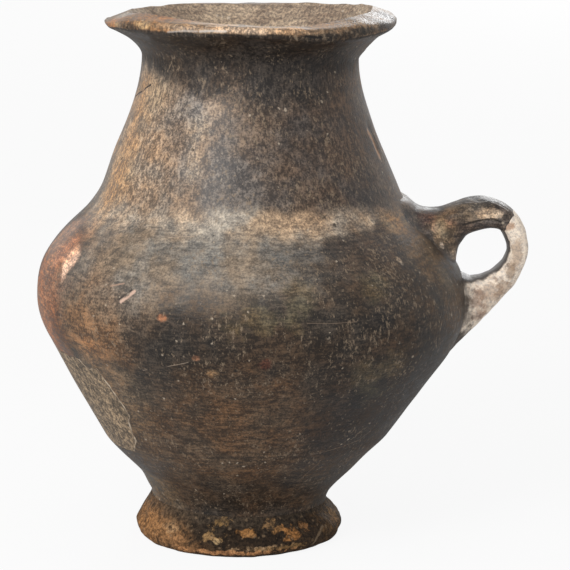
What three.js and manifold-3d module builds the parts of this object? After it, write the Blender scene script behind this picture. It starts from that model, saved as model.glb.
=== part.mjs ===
// Hand-built urn of fired clay: a splayed foot, two soft cones that meet at the belly,
// an everted lip and one strap handle. Millimetres, +Z up. The origin is the centre of
// the flat underside, and the handle stands on the +X side.
import * as THREE from "three";
import { mergeVertices } from "three/addons/utils/BufferGeometryUtils.js";
import Module from "manifold-3d";

const wasm = await Module();
wasm.setup();

// Driving sizes: heights, each counted from the one before it
const footBeadHeight = 7.4; // ground to the widest line of the foot
const footWaistRise = 14.9; // up to the foot's waist
const coneRise = 39.7; // up to the line where the lower wall starts to round out to the belly
const coneToBelly = 77; // up to the widest line of the belly
const shoulderRise = 55; // up to the bend between shoulder and neck
const neckRise = 82.6; // up to the throat, the narrowest line of the neck
const rimRise = 23.4; // up to the crest of the lip

// Driving sizes: outside radii
const footWaistRadius = 50.7;
const soleFlare = 4.3; // sole beyond the waist
const footBeadFlare = 9.1; // widest line of the foot beyond the waist
const coneRadius = 82;
const bellyRadius = 122.4;
const bendRadius = 87.4;
const throatRadius = 61;
const lipReach = 81.4;
const lipBreadth = 13; // the lip's flat top, from its outer edge inwards

// Driving sizes: how long the outline keeps its direction on each side of those lines
const footBeadFlow = 1.2;
const waistFlowBelow = 3;
const waistFlowAbove = 9.2;
const coneFlowBelow = 7.1;
const coneFlowAbove = 63;
const coneLean = 32.2; // degrees off upright
const bellyFlowBelow = 15.7;
const bellyFlowAbove = 19.7;
const shoulderFlow = 39.8;
const shoulderLean = 49; // degrees off upright, just below the bend
const bendSoftness = 11; // height over which the bend is rounded, on each side of it
const neckFlow = 25.5;
const neckLean = 15; // degrees off upright, just above the bend
const throatFlowBelow = 26;
const throatFlowAbove = 7;
const flareFlow = 8;
const mouthFlow = 4; // below the inner edge of the lip
const flareAngle = 24; // degrees above level, where the flare meets the lip's round edge

// Driving sizes: walls and floor
const wall = 7.5;
const lipThickness = 6.4;
const floorThickness = 13;

// Driving sizes: how the clay is divided
const slipFilm = 0.3; // the layer of slip or glue between two pieces
const scarfRise = 6; // a coil joint is higher inside than outside by this much
const footLuting = 4.7; // from the foot's waist in to the edge of the base disc
const footJointDrop = 0.3; // the foot's upper edge lies this far below its waist
const coilSeat = 5.5; // breadth of the first coil's flat bottom on the base disc
const lowerCoils = 3;
const bellyBandBelow = 24; // reach of the belly band below the widest line
const bellyBandAbove = 24;
const neckCoils = 3;
const rimSeat = 10; // the rim's joint lies this far below the throat

// Driving sizes: what the potter's hand left
const footOffset = 4.5; // the foot sits this far off the wall's axis
const footOffsetFrom = 5; // above the waist, where the wall starts to make up for it
const footOffsetRise = 15.5;
const bellyOffset = 3; // the upper body stands this much further towards the handle
const bellyOffsetFrom = 27; // above the waist
const bellyOffsetRise = 54;
const waistTilt = 3; // degrees by which the foot's waist dips towards the handle
const waistTiltFrom = 11.5; // below the waist
const waistTiltRise = 11;
const waistTiltFade = 20; // above the waist
const bodyTilt = 1.8; // degrees by which the upper body dips towards the handle
const bodyTiltFrom = 66.7; // above the waist
const bodyTiltRise = 28;
const rimTrueing = 48; // height over which the rim comes back to level

// Driving sizes: handle
const upperRootDrop = 13.5; // below the bend
const lowerRootDrop = 5.6; // below the widest line of the belly
const rootDepth = 26; // the strap is drawn this far into the body, then cut to the wall
const upperRootAngle = 30; // degrees above level
const lowerRootAngle = 44;
const handleStandOff = 27.6; // outermost part of the centre line, beyond the belly
const handleArch = 11; // top of the centre line above the upper root
const loopShoulder = 19.5; // top of the centre line to its outermost part, sideways
const loopDrop = 22.5; // and downwards
const strapThickness = 12.8;
const strapWidth = 23;
const upperRootThickness = 28;
const lowerRootThickness = 17;
const rootWidth = 38;
const rootFlare = 24; // length in which a root narrows to the strap
const breakShare = 0.47; // where the strap once broke, along its centre line
const breakSkew = 18; // degrees
const tenonRadius = 6;
const tenonRoot = 3; // the tenon starts this far outside the wall, inside the strap

// Driving sizes: refitted sherd in the lower wall
const sherdAzimuth = 200; // degrees from +X, at its middle
const sherdHalfWidth = 48; // along the wall
const sherdLift = 64.7; // its middle, above the foot's waist
const sherdHalfHeight = 27.5;

// Fineness of the faceting
const aroundSteps = 48;
const rowsPerBand = 4;
const curveSteps = 48;
const sectionSteps = 16;
const strapRings = 26;
const tenonSides = 20;
const rimRows = 2;
const flareSteps = 5;
const lipSteps = 6;

// Heights of the main lines
const waistHeight = footBeadHeight + footWaistRise;
const coneHeight = waistHeight + coneRise;
const bellyHeight = coneHeight + coneToBelly;
const bendHeight = bellyHeight + shoulderRise;
const throatHeight = bendHeight + neckRise;
const crestHeight = throatHeight + rimRise;
const footJointHeight = waistHeight - footJointDrop;
const rimJointHeight = throatHeight - rimSeat;
const discRadius = footWaistRadius - footLuting;

const { degToRad, smoothstep } = THREE.MathUtils;
const at = (x, y) => new THREE.Vector2(x, y);
const heading = (degrees) => at(Math.cos(degToRad(degrees)), Math.sin(degToRad(degrees)));
const bezier = (...points) => new THREE.CubicBezierCurve(...points);

// Outline of the body, as radius and height, from the foot's widest line to the lip
const bead = at(footWaistRadius + footBeadFlare, footBeadHeight);
const waist = at(footWaistRadius, waistHeight);
const cone = at(coneRadius, coneHeight);
const coneWay = heading(90 - coneLean);
const belly = at(bellyRadius, bellyHeight);
const bend = at(bendRadius, bendHeight);
const throat = at(throatRadius, throatHeight);
const lipRadius = lipThickness / 2;
const lipCentre = at(lipReach - lipRadius, crestHeight - lipRadius);
const flareEnd = lipCentre.clone().addScaledVector(heading(flareAngle - 90), lipRadius);

const outline = [
  bezier(bead, at(bead.x, bead.y + footBeadFlow), at(waist.x, waist.y - waistFlowBelow), waist),
  bezier(
    waist,
    at(waist.x, waist.y + waistFlowAbove),
    cone.clone().addScaledVector(coneWay, -coneFlowBelow),
    cone,
  ),
  bezier(
    cone,
    cone.clone().addScaledVector(coneWay, coneFlowAbove),
    at(belly.x, belly.y - bellyFlowBelow),
    belly,
  ),
  bezier(
    belly,
    at(belly.x, belly.y + bellyFlowAbove),
    bend.clone().addScaledVector(heading(90 + shoulderLean), -shoulderFlow),
    bend,
  ),
  bezier(
    bend,
    bend.clone().addScaledVector(heading(90 + neckLean), neckFlow),
    at(throat.x, throat.y - throatFlowBelow),
    throat,
  ),
];
const bendTurn = Math.tan(degToRad(shoulderLean)) - Math.tan(degToRad(neckLean));

// The bend is no edge: an arc of clay rounds it off
function softened(point) {
  const reach = Math.max(bendSoftness - Math.abs(point.y - bendHeight), 0);
  return at(point.x + (bendTurn / (4 * bendSoftness)) * reach ** 2, point.y);
}

const outlinePoints = outline.flatMap((curve) => curve.getPoints(curveSteps)).map(softened);

// The outside radius at a height between the foot's widest line and the throat
function radiusAt(height) {
  const found = outlinePoints.findIndex((p) => p.y >= height);
  const above = found === -1 ? outlinePoints.length - 1 : Math.max(1, found);
  const [low, high] = [outlinePoints[above - 1], outlinePoints[above]];
  return THREE.MathUtils.mapLinear(height, low.y, high.y, low.x, high.x);
}

const outerPoint = (height) => at(radiusAt(height), height);

// The point of the inner face that lies one wall in from the outer face at a height
function innerPoint(height) {
  const reach = wall / 8; // how far above and below the wall's slope is taken
  const along = outerPoint(height + reach).sub(outerPoint(height - reach)).normalize();
  return outerPoint(height).add(at(-along.y, along.x).multiplyScalar(wall));
}

// What the potter's hand left: the foot off the axis and the upper body off level
const tiltSlope = Math.tan(degToRad(bodyTilt));
const waistSlope = Math.tan(degToRad(waistTilt));

function axisOffset(height) {
  const footFrom = waistHeight + footOffsetFrom;
  const bellyFrom = waistHeight + bellyOffsetFrom;
  return (
    footOffset * smoothstep(height, footFrom, footFrom + footOffsetRise) +
    bellyOffset * smoothstep(height, bellyFrom, bellyFrom + bellyOffsetRise)
  );
}

function tiltDrop(x, height) {
  const waistShare =
    smoothstep(height, waistHeight - waistTiltFrom, waistHeight - waistTiltFrom + waistTiltRise) -
    smoothstep(height, waistHeight, waistHeight + waistTiltFade);
  const tiltFrom = waistHeight + bodyTiltFrom;
  const bodyShare =
    smoothstep(height, tiltFrom, tiltFrom + bodyTiltRise) -
    smoothstep(height, crestHeight - rimTrueing, crestHeight);
  return (waistSlope * waistShare + tiltSlope * bodyShare) * x;
}

const handMade = (x, y, height) =>
  new THREE.Vector3(x + axisOffset(height), y, height - tiltDrop(x, height));

// Geometry helpers
function solid(geometry) {
  geometry.deleteAttribute("normal");
  geometry.deleteAttribute("uv");
  const merged = mergeVertices(geometry, 1e-4);
  const mesh = new wasm.Mesh({
    numProp: 3,
    vertProperties: merged.attributes.position.array,
    triVerts: new Uint32Array(merged.index.array),
  });
  return new wasm.Manifold(mesh);
}

function geometryOf(manifold) {
  const mesh = manifold.getMesh();
  const geometry = new THREE.BufferGeometry();
  geometry.setAttribute("position", new THREE.BufferAttribute(mesh.vertProperties, 3));
  geometry.setIndex(new THREE.BufferAttribute(mesh.triVerts, 1));
  const faceted = geometry.toNonIndexed();
  faceted.computeVertexNormals();
  return faceted;
}

// A profile of radius and height, turned about the axis and given the hand-made lean
function turned(profile, closes) {
  const points = closes ? [...profile, profile[0].clone()] : profile;
  const geometry = new THREE.LatheGeometry(points, aroundSteps);
  geometry.rotateX(Math.PI / 2);
  const place = geometry.attributes.position;
  for (let i = 0; i < place.count; i++) {
    const moved = handMade(place.getX(i), place.getY(i), place.getZ(i));
    place.setXYZ(i, moved.x, moved.y, moved.z);
  }
  return solid(geometry);
}

// Heights of the coil joints, and of the rows of facets between them
const steps = (from, to, count) =>
  Array.from({ length: count + 1 }, (_, i) => THREE.MathUtils.lerp(from, to, i / count));
const bandFrom = bellyHeight - bellyBandBelow;
const bandTo = bellyHeight + bellyBandAbove;
const joints = [
  ...steps(footJointHeight, bandFrom, lowerCoils),
  bandTo,
  ...steps(bendHeight, rimJointHeight, neckCoils),
];
const filmAlongWall = slipFilm * Math.hypot(1, scarfRise / wall);

// The rows of one band, held back from both joints by half a film of slip
const bandRows = (from, to) =>
  steps(from, to, rowsPerBand).map((height) =>
    THREE.MathUtils.clamp(height, from + filmAlongWall / 2, to - filmAlongWall / 2),
  );

function bandProfile(rows) {
  const outside = rows.map(outerPoint);
  const inside = rows.map((height) => innerPoint(height + scarfRise)).reverse();
  return [...outside, ...inside];
}

// Base disc: the pad of clay that the potter starts from
function baseDisc() {
  const edge = 1.5;
  return turned([
    at(0, 0),
    at(discRadius - slipFilm, 0),
    at(discRadius - slipFilm, floorThickness - edge),
    at(discRadius - slipFilm - edge, floorThickness),
    at(0, floorThickness),
  ]);
}

// Foot ring: a splayed coil luted round the base disc
function footRing() {
  const soleRadius = footWaistRadius + soleFlare;
  const underside = bezier(at(soleRadius, 0), at(bead.x, 0), at(bead.x, bead.y / 3), bead);
  const top = footJointHeight - slipFilm;
  const flank = steps(bead.y, top, rowsPerBand).map(outerPoint);
  return turned(
    [
      at(discRadius, 0),
      ...underside.getPoints(rowsPerBand),
      ...flank.slice(1),
      at(discRadius, floorThickness - slipFilm),
    ],
    true,
  );
}

// First wall coil: stands on the base disc, with the foot ring round its root
function firstCoil(to) {
  const rows = bandRows(footJointHeight, to);
  const wallPart = bandProfile(rows);
  const bottom = floorThickness + slipFilm;
  return turned([at(discRadius - coilSeat, bottom), at(discRadius, bottom), ...wallPart], true);
}

const wallCoil = (from, to) => turned(bandProfile(bandRows(from, to)), true);

// Rim: the last coil, thrown outwards over the throat and rounded at its edge
function rimLip() {
  const rows = steps(rimJointHeight + filmAlongWall / 2, throatHeight, rimRows);
  const flare = bezier(
    throat,
    at(throat.x, throat.y + throatFlowAbove),
    flareEnd.clone().addScaledVector(heading(flareAngle), -flareFlow),
    flareEnd,
  );
  const edge = new THREE.EllipseCurve(
    lipCentre.x,
    lipCentre.y,
    lipRadius,
    lipRadius,
    degToRad(flareAngle - 90),
    Math.PI / 2,
  );
  const lipInside = at(lipReach - lipBreadth, crestHeight);
  const throatInside = at(throatRadius - wall, throatHeight);
  const mouth = bezier(
    lipInside,
    at(lipInside.x - mouthFlow, crestHeight - mouthFlow),
    at(throatInside.x, throatHeight + rimRise / 2),
    throatInside,
  );
  return turned(
    [
      ...rows.map(outerPoint),
      ...flare.getPoints(flareSteps).slice(1),
      ...edge.getPoints(lipSteps).slice(1),
      ...mouth.getPoints(lipSteps),
      innerPoint(rows[0] + scarfRise),
    ],
    true,
  );
}

// The whole body as far as the throat, filled to the axis and grown by a margin
function bodyEnvelope(margin) {
  const rows = [footJointHeight, ...joints.slice(1).flatMap((to, i) => bandRows(joints[i], to))];
  const skin = rows.map((height) => outerPoint(height).add(at(margin, 0)));
  return turned([at(0, footJointHeight), ...skin, at(0, rimJointHeight)]);
}

// The hollow of the body as far as the throat
function bodyCavity() {
  const rows = joints.slice(1).flatMap((to, i) => bandRows(joints[i], to));
  const skin = rows.map((height) => innerPoint(height + scarfRise));
  return turned([at(0, skin[0].y), ...skin, at(0, skin.at(-1).y)]);
}

// Centre line of the handle, from inside the shoulder, over the loop, to inside the belly
function handleLine() {
  const upper = handMade(radiusAt(bendHeight - upperRootDrop), 0, bendHeight - upperRootDrop);
  const lower = handMade(radiusAt(bellyHeight - lowerRootDrop), 0, bellyHeight - lowerRootDrop);
  const upperWay = heading(upperRootAngle);
  const lowerWay = heading(lowerRootAngle);
  const top = at(lower.x + handleStandOff - loopShoulder, upper.z + handleArch);
  const outermost = at(lower.x + handleStandOff, top.y - loopDrop);
  const [u, l] = [at(upper.x, upper.z), at(lower.x, lower.z)];
  const round = 0.55; // share of the way that a Bezier handle takes on a quarter turn
  const line = new THREE.CurvePath();
  const add = (...points) =>
    line.add(new THREE.CubicBezierCurve3(...points.map((p) => new THREE.Vector3(p.x, 0, p.y))));
  const straight = (from, to) => add(from, from.clone().lerp(to, 1 / 3), from.clone().lerp(to, 2 / 3), to);
  const uReach = (top.x - u.x) / 3;
  const lReach = (outermost.y - l.y) / 2;
  straight(u.clone().addScaledVector(upperWay, -rootDepth), u);
  add(u, u.clone().addScaledVector(upperWay, uReach), at(top.x - uReach, top.y), top);
  add(
    top,
    at(top.x + loopShoulder * round, top.y),
    at(outermost.x, outermost.y + loopDrop * round),
    outermost,
  );
  add(outermost, at(outermost.x, outermost.y - lReach), l.clone().addScaledVector(lowerWay, lReach), l);
  straight(l, l.clone().addScaledVector(lowerWay, -rootDepth));
  return line;
}

// The strap between two places on its centre line. A broken end is skewed.
function strap(line, from, to, brokenAtStart) {
  const length = line.getLength();
  const rings = Math.round(strapRings * (to - from));
  const squareness = 0.75; // 1 is an ellipse, less comes closer to a rectangle
  const places = [];
  for (let i = 0; i <= rings; i++) {
    const share = THREE.MathUtils.lerp(from, to, i / rings);
    const centre = line.getPoint(share);
    const along = line.getTangent(share);
    const across = new THREE.Vector3(-along.z, 0, along.x);
    const pastUpperRoot = share * length - rootDepth;
    const beforeLowerRoot = (1 - share) * length - rootDepth;
    const flareAt = (distance) => THREE.MathUtils.clamp(1 - distance / rootFlare, 0, 1) ** 2;
    const upperFlare = flareAt(pastUpperRoot);
    const lowerFlare = flareAt(beforeLowerRoot);
    const thickness =
      strapThickness +
      (upperRootThickness - strapThickness) * upperFlare +
      (lowerRootThickness - strapThickness) * lowerFlare;
    const width = strapWidth + (rootWidth - strapWidth) * Math.max(upperFlare, lowerFlare);
    const broken = brokenAtStart ? i === 0 : i === rings;
    const skew = broken ? Math.tan(degToRad(breakSkew)) : 0;
    for (let k = 0; k < sectionSteps; k++) {
      const angle = (2 * Math.PI * k) / sectionSteps;
      const flat = (value) => Math.sign(value) * Math.abs(value) ** squareness;
      const outwards = (flat(Math.cos(angle)) * thickness) / 2;
      const sideways = (flat(Math.sin(angle)) * width) / 2;
      const place = centre.clone().addScaledVector(across, outwards);
      place.addScaledVector(along, outwards * skew);
      place.y += sideways;
      places.push(place);
    }
  }
  const last = rings * sectionSteps;
  const middleOf = (first) =>
    places
      .slice(first, first + sectionSteps)
      .reduce((sum, p) => sum.add(p), new THREE.Vector3())
      .divideScalar(sectionSteps);
  const [startMiddle, endMiddle] = [middleOf(0), middleOf(last)];
  const faces = [];
  for (let k = 0; k < sectionSteps; k++) {
    const next = (k + 1) % sectionSteps;
    for (let i = 0; i < rings; i++) {
      const [a, b] = [i * sectionSteps + k, i * sectionSteps + next];
      const [c, d] = [a + sectionSteps, b + sectionSteps];
      faces.push(a, c, b, b, c, d);
    }
    faces.push(places.length, k, next, places.length + 1, last + next, last + k);
  }
  const geometry = new THREE.BufferGeometry().setFromPoints([...places, startMiddle, endMiddle]);
  geometry.setIndex(faces);
  return solid(geometry);
}

// The tenon of the lower handle, or with a margin the mortise that it goes through
function tenon(margin) {
  const rootHeight = bellyHeight - lowerRootDrop;
  const root = handMade(radiusAt(rootHeight), 0, rootHeight);
  const inwards = 2 * wall;
  const radius = tenonRadius + margin;
  const peg = new THREE.CylinderGeometry(radius, radius, inwards + tenonRoot, tenonSides);
  peg.rotateZ(Math.PI / 2);
  peg.translate(root.x + (tenonRoot - inwards) / 2, root.y, root.z);
  return solid(peg);
}

// The outline of the refitted sherd, as shares of its half width and half height
const sherdOutline = [
  at(-0.76, 0.69),
  at(-0.17, 0.95),
  at(0.52, 1),
  at(0.61, 0.82),
  at(0.79, 0.9),
  at(0.92, 0.39),
  at(1, -0.02),
  at(0.92, -0.55),
  at(0.76, -0.95),
  at(0.17, -1),
  at(-0.52, -0.87),
  at(-0.97, -0.51),
  at(-1, 0.1),
];

// A wedge from near the axis out past the wall, with the sherd's outline
function sherdWedge(margin) {
  const middle = waistHeight + sherdLift;
  const radius = radiusAt(middle);
  const [nearAxis, pastWall] = [radius / 3, radius * 1.6];
  const corners = sherdOutline.map((share) => {
    const along = share.x * (sherdHalfWidth + margin);
    const up = share.y * (sherdHalfHeight + margin);
    const angle = degToRad(sherdAzimuth) + along / radius;
    return { angle, height: middle + up };
  });
  const ringAt = (distance) =>
    corners.map(
      ({ angle, height }) =>
        new THREE.Vector3(distance * Math.cos(angle), distance * Math.sin(angle), height),
    );
  const places = [...ringAt(nearAxis), ...ringAt(pastWall)];
  const caps = THREE.ShapeUtils.triangulateShape(
    corners.map(({ angle, height }) => at(angle * radius, height)),
    [],
  );
  const count = corners.length;
  const faces = [];
  caps.forEach(([a, b, c]) => faces.push(c, b, a, a + count, b + count, c + count));
  for (let i = 0; i < count; i++) {
    const next = (i + 1) % count;
    faces.push(i, i + count, next, next, i + count, next + count);
  }
  const geometry = new THREE.BufferGeometry().setFromPoints(places);
  geometry.setIndex(faces);
  return solid(geometry);
}

// Fired clay, as each piece shows it
const clay = (color, roughness) =>
  new THREE.MeshStandardMaterial({ color, roughness, metalness: 0 });
const burnished = clay(0x41372f, 0.55);
const rimClay = clay(0x5d4736, 0.6);
const footClay = clay(0x5a412c, 0.8);
const sherdClay = clay(0x6a6152, 0.7);
const paleClay = clay(0xb8a48d, 0.7);

const urn = new THREE.Group();
urn.name = "urn";

function add(name, manifold, material) {
  const mesh = new THREE.Mesh(geometryOf(manifold), material);
  mesh.name = name;
  urn.add(mesh);
}

add("base_disc", baseDisc(), footClay);
add("foot_ring", footRing(), footClay);

// The wall, coil on coil, each cut where the sherd or the tenon goes through it
const sherdHole = sherdWedge(slipFilm);
const mortise = tenon(slipFilm);
const coilNames = [
  ...Array.from({ length: lowerCoils }, (_, i) => `lower_wall_coil_${i + 1}`),
  "belly_band",
  "shoulder_coil",
  ...Array.from({ length: neckCoils }, (_, i) => `neck_coil_${i + 1}`),
];
coilNames.forEach((name, i) => {
  const whole = i === 0 ? firstCoil(joints[1]) : wallCoil(joints[i], joints[i + 1]);
  add(name, whole.subtract(sherdHole).subtract(mortise), burnished);
});
add("rim_lip", rimLip(), rimClay);

const cavity = bodyCavity();
const wallAtSherd = bodyEnvelope(0).subtract(cavity);
add("refitted_sherd", wallAtSherd.intersect(sherdWedge(0)), sherdClay);

// The handle in its two fragments, the upper luted on, the lower pegged through the wall
const line = handleLine();
const halfFilm = slipFilm / 2 / line.getLength();
const bodyAndFilm = bodyEnvelope(slipFilm);
const upperStrap = strap(line, 0, breakShare - halfFilm, false);
const lowerStrap = strap(line, breakShare + halfFilm, 1, true);
add("handle_upper", upperStrap.subtract(bodyAndFilm), burnished);
add("handle_lower", lowerStrap.subtract(bodyAndFilm).add(tenon(0).subtract(cavity)), paleClay);

export default urn;
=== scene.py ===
import bisect
import math

import bmesh
import bpy
from mathutils import Matrix, Vector, geometry, noise


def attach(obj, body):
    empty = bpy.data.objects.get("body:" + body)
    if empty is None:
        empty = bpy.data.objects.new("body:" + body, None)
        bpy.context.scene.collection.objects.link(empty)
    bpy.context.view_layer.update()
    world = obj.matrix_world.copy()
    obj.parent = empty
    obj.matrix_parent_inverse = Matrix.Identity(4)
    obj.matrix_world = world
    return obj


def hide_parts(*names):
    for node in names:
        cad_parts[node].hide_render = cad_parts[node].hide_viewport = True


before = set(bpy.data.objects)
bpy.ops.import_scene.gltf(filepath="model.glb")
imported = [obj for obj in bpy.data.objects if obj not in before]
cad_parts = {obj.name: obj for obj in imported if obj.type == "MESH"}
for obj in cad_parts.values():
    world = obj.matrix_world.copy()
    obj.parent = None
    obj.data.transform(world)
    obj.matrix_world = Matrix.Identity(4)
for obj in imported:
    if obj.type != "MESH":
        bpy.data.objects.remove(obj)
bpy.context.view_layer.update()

MM = 0.001

# Camera
# It stands in front of the urn and a little above the lip, with the handle at the right,
# far enough away that the near and far sides of the lip are almost the same width.
PHOTO_SIDE = 570
CAMERA_DISTANCE = 1.377
CAMERA_ELEVATION = math.radians(11.46)
LOOK_AT = Vector((0.0268, 0, 0.1451))
PIXELS_PER_UNIT = 2400
SENSOR = 36

camera = bpy.data.objects.new("camera", bpy.data.cameras.new("camera"))
camera.data.sensor_width = SENSOR
camera.data.lens = PIXELS_PER_UNIT * SENSOR / PHOTO_SIDE
camera.data.clip_start = 0.05
camera.data.clip_end = 30
towards_camera = Vector((0, -math.cos(CAMERA_ELEVATION), math.sin(CAMERA_ELEVATION)))
camera_up = Vector((0, math.sin(CAMERA_ELEVATION), math.cos(CAMERA_ELEVATION)))
camera.location = LOOK_AT + towards_camera * CAMERA_DISTANCE
camera.rotation_euler = (-towards_camera).to_track_quat("-Z", "Y").to_euler()
bpy.context.collection.objects.link(camera)
bpy.context.scene.camera = camera
bpy.context.scene.view_settings.view_transform = "Standard"


# Outline of the body
# The potter's outline runs from the foot's widest line over the belly to the throat, in
# millimetres of radius and height. Every coil below takes its faces from this one curve.
BEAD = (59.8, 7.4)
WAIST = (50.7, 22.3)
CONE = (82, 62)
BELLY = (122.4, 139)
BEND = (87.4, 194)
THROAT = (61, 276.6)
CREST = 300
WALL = 7.5
SCARF_RISE = 6
OUTLINE_RUNS = (
    (BEAD, (59.8, 8.6), (50.7, 19.3), WAIST),
    (WAIST, (50.7, 31.5), (78.2, 56), CONE),
    (CONE, (115.6, 115.3), (122.4, 123.3), BELLY),
    (BELLY, (122.4, 158.7), (117.4, 167.9), BEND),
    (BEND, (80.8, 218.6), (61, 250.6), THROAT),
)
RUN_POINTS = 60
BEND_SOFTNESS = 11
BEND_TURN = 0.882


def flat(point):
    return Vector((point[0], point[1], 0))


def curve(start, leaving, arriving, end, count):
    """Points of a Bezier curve in the plane of radius and height."""
    points = geometry.interpolate_bezier(flat(start), flat(leaving), flat(arriving), flat(end), count)
    return [(p.x, p.y) for p in points]


outline = []
for run in OUTLINE_RUNS:
    outline += curve(*run, RUN_POINTS)[1 if outline else 0 :]
for i, (radius, height) in enumerate(outline):
    reach = max(BEND_SOFTNESS - abs(height - BEND[1]), 0)
    outline[i] = (radius + BEND_TURN / (4 * BEND_SOFTNESS) * reach**2, height)
outline_heights = [point[1] for point in outline]


def radius_at(height):
    """The outside radius at a height, before the potter's hand moves it."""
    i = min(max(bisect.bisect_left(outline_heights, height), 1), len(outline) - 1)
    (low_radius, low), (high_radius, high) = outline[i - 1], outline[i]
    return low_radius + (high_radius - low_radius) * (height - low) / (high - low)


def inside_at(height):
    """The point of the inner face, one wall in from the outer face at a height."""
    slope = (radius_at(height + 1) - radius_at(height - 1)) / 2
    length = math.hypot(slope, 1)
    return (radius_at(height) - WALL / length, height + WALL * slope / length)


def ease(value, low, high):
    share = min(max((value - low) / (high - low), 0), 1)
    return share * share * (3 - 2 * share)


# The urn isn't quite true: in steps above the foot it stands nearer the handle, and it tilts.
# Each offset or tilt comes in between one pair of heights, and goes out between another.
FOOT_OFFSET = 4.5
BELLY_OFFSET = 3.5
NECK_OFFSET = -0.5
WAIST_TILT = math.radians(3)
BODY_TILT = math.radians(1.8)


def axis_offset(height):
    """How far the wall stands off the foot's axis, towards the handle."""
    above_foot = FOOT_OFFSET * ease(height, 27.3, 42.8)
    above_cone = BELLY_OFFSET * ease(height, 49.3, 103.3)
    return above_foot + above_cone + NECK_OFFSET * ease(height, 150, 190)


def tilt_drop(x, height):
    """How far the foot's waist and the body above the belly dip towards the handle."""
    waist = WAIST_TILT * (ease(height, 10.8, 21.8) - ease(height, 22.3, 42.3))
    body = BODY_TILT * (ease(height, 89, 117) - ease(height, 252, CREST))
    return (waist + body) * x


BEFORE_URN = 150
SIGHT_STEP = 0.5


def sight_line(u, v):
    """The way from the camera through a pixel of the photograph."""
    ray = -towards_camera + Vector((1, 0, 0)) * (u - PHOTO_SIDE / 2) / PIXELS_PER_UNIT
    return ray + camera_up * (PHOTO_SIDE / 2 - v) / PIXELS_PER_UNIT


def on_wall(u, v):
    """The point of the outer face that a pixel of the photograph shows, in millimetres. It
    steps along the sight line from just before the urn until it is inside."""
    ray = sight_line(u, v)
    place = camera.location / MM + ray * (CAMERA_DISTANCE / MM - BEFORE_URN)
    while place.y < BELLY[0]:
        x = place.x - axis_offset(place.z)
        height = place.z + tilt_drop(x, place.z)
        radius = math.hypot(x, place.y)
        if 0 < height < THROAT[1] and radius < radius_at(height):
            share = radius_at(height) / radius
            return potters_hand(Vector((x * share, place.y * share, height)))
        place = place + ray * SIGHT_STEP
    raise ValueError(f"pixel {u},{v} misses the body")


# Base disc
# The pad of clay that the urn was started on, and the floor inside it. It was patted flat
# on a board, so its underside is level and a little rough.
AROUND = 480
ROW = 1.25
INSIDE_ROW = 5
DISC_RADIUS = 46
FLOOR = 13
FULL_TURN = 2 * math.pi
CREASE = math.radians(36)
HAND_WAVES = ((75, 0.9), (21, 0.5))
marks = []
# The lumps that the potter's hand left are drawn at random, but the same ones each time.
HAND_SEED = 1
noise.seed_set(HAND_SEED)


def rows(start, end, spacing):
    """Evenly spaced heights from start to end, both included."""
    count = max(2, round(abs(end - start) / spacing) + 1)
    return [start + (end - start) * i / (count - 1) for i in range(count)]


def potters_hand(place):
    """Where a point of the true turned shape lies on the real, hand-built one: off its axis,
    tilted, a little wavy above the sole, and with the marks that a knock left."""
    x, y, height = place
    moved = Vector((x + axis_offset(height), y, height - tilt_drop(x, height)))
    for wave_length, depth in HAND_WAVES:
        moved += noise.noise_vector(moved / wave_length) * depth * ease(height, 2, 12)
    for mark in marks:
        moved += mark(moved)
    return moved


def turned(profile, changes=(), start=0, angle=FULL_TURN):
    """A closed profile turned about the axis, closed at its ends if the turn isn't full. The
    faces take the next material from each profile point in changes on."""
    bm = bmesh.new()
    zone = bm.verts.layers.int.new("zone")
    starting = Matrix.Rotation(start, 3, "Z")
    verts = [bm.verts.new(starting @ Vector((radius, 0, height))) for radius, height in profile]
    for i, vert in enumerate(verts):
        vert[zone] = sum(i >= change for change in changes)
    edges = [bm.edges.new(pair) for pair in zip(verts, verts[1:] + verts[:1])]
    bmesh.ops.spin(
        bm,
        geom=verts + edges,
        cent=(0, 0, 0),
        axis=(0, 0, 1),
        angle=angle,
        steps=round(AROUND * angle / FULL_TURN),
        use_merge=angle == FULL_TURN,
    )
    if angle == FULL_TURN:
        bmesh.ops.remove_doubles(bm, verts=bm.verts, dist=1e-4)
    else:
        open_edges = [edge for edge in bm.edges if edge.is_boundary]
        bmesh.ops.holes_fill(bm, edges=open_edges, sides=0)
    bmesh.ops.recalc_face_normals(bm, faces=bm.faces)
    for face in bm.faces:
        face.smooth = True
        face.material_index = min(vert[zone] for vert in face.verts)
    bm.verts.layers.int.remove(zone)
    return bm


def shaped(bm, hand):
    """The bmesh moved by a hand, point by point, and brought from millimetres to metres."""
    for vert in bm.verts:
        vert.co = hand(vert.co) * MM
    return bm


def mark_creases(bm):
    for edge in bm.edges:
        edge.smooth = edge.calc_face_angle(0) < CREASE


def finished(name, bm, materials):
    """The bmesh as an object that rides on the urn, with creases kept sharp."""
    mark_creases(bm)
    mesh = bpy.data.meshes.new(name)
    bm.to_mesh(mesh)
    bm.free()
    for material in materials:
        mesh.materials.append(material)
    piece = bpy.data.objects.new(name, mesh)
    bpy.context.collection.objects.link(piece)
    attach(piece, "root")
    return piece


def put(tree, kind, inputs=None, **settings):
    """A new node, with its settings, and its inputs set to values or linked to sockets."""
    made = tree.nodes.new(kind)
    for key, value in settings.items():
        setattr(made, key, value)
    for key, value in (inputs or {}).items():
        if isinstance(value, bpy.types.NodeSocket):
            tree.links.new(value, made.inputs[key])
        else:
            made.inputs[key].default_value = value
    return made


def maths(tree, operation, *values, clamp=False):
    inputs = dict(enumerate(values))
    return put(tree, "ShaderNodeMath", inputs, operation=operation, use_clamp=clamp).outputs[0]


def vector_maths(tree, operation, *values, out=0):
    inputs = dict(enumerate(values))
    return put(tree, "ShaderNodeVectorMath", inputs, operation=operation).outputs[out]


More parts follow.
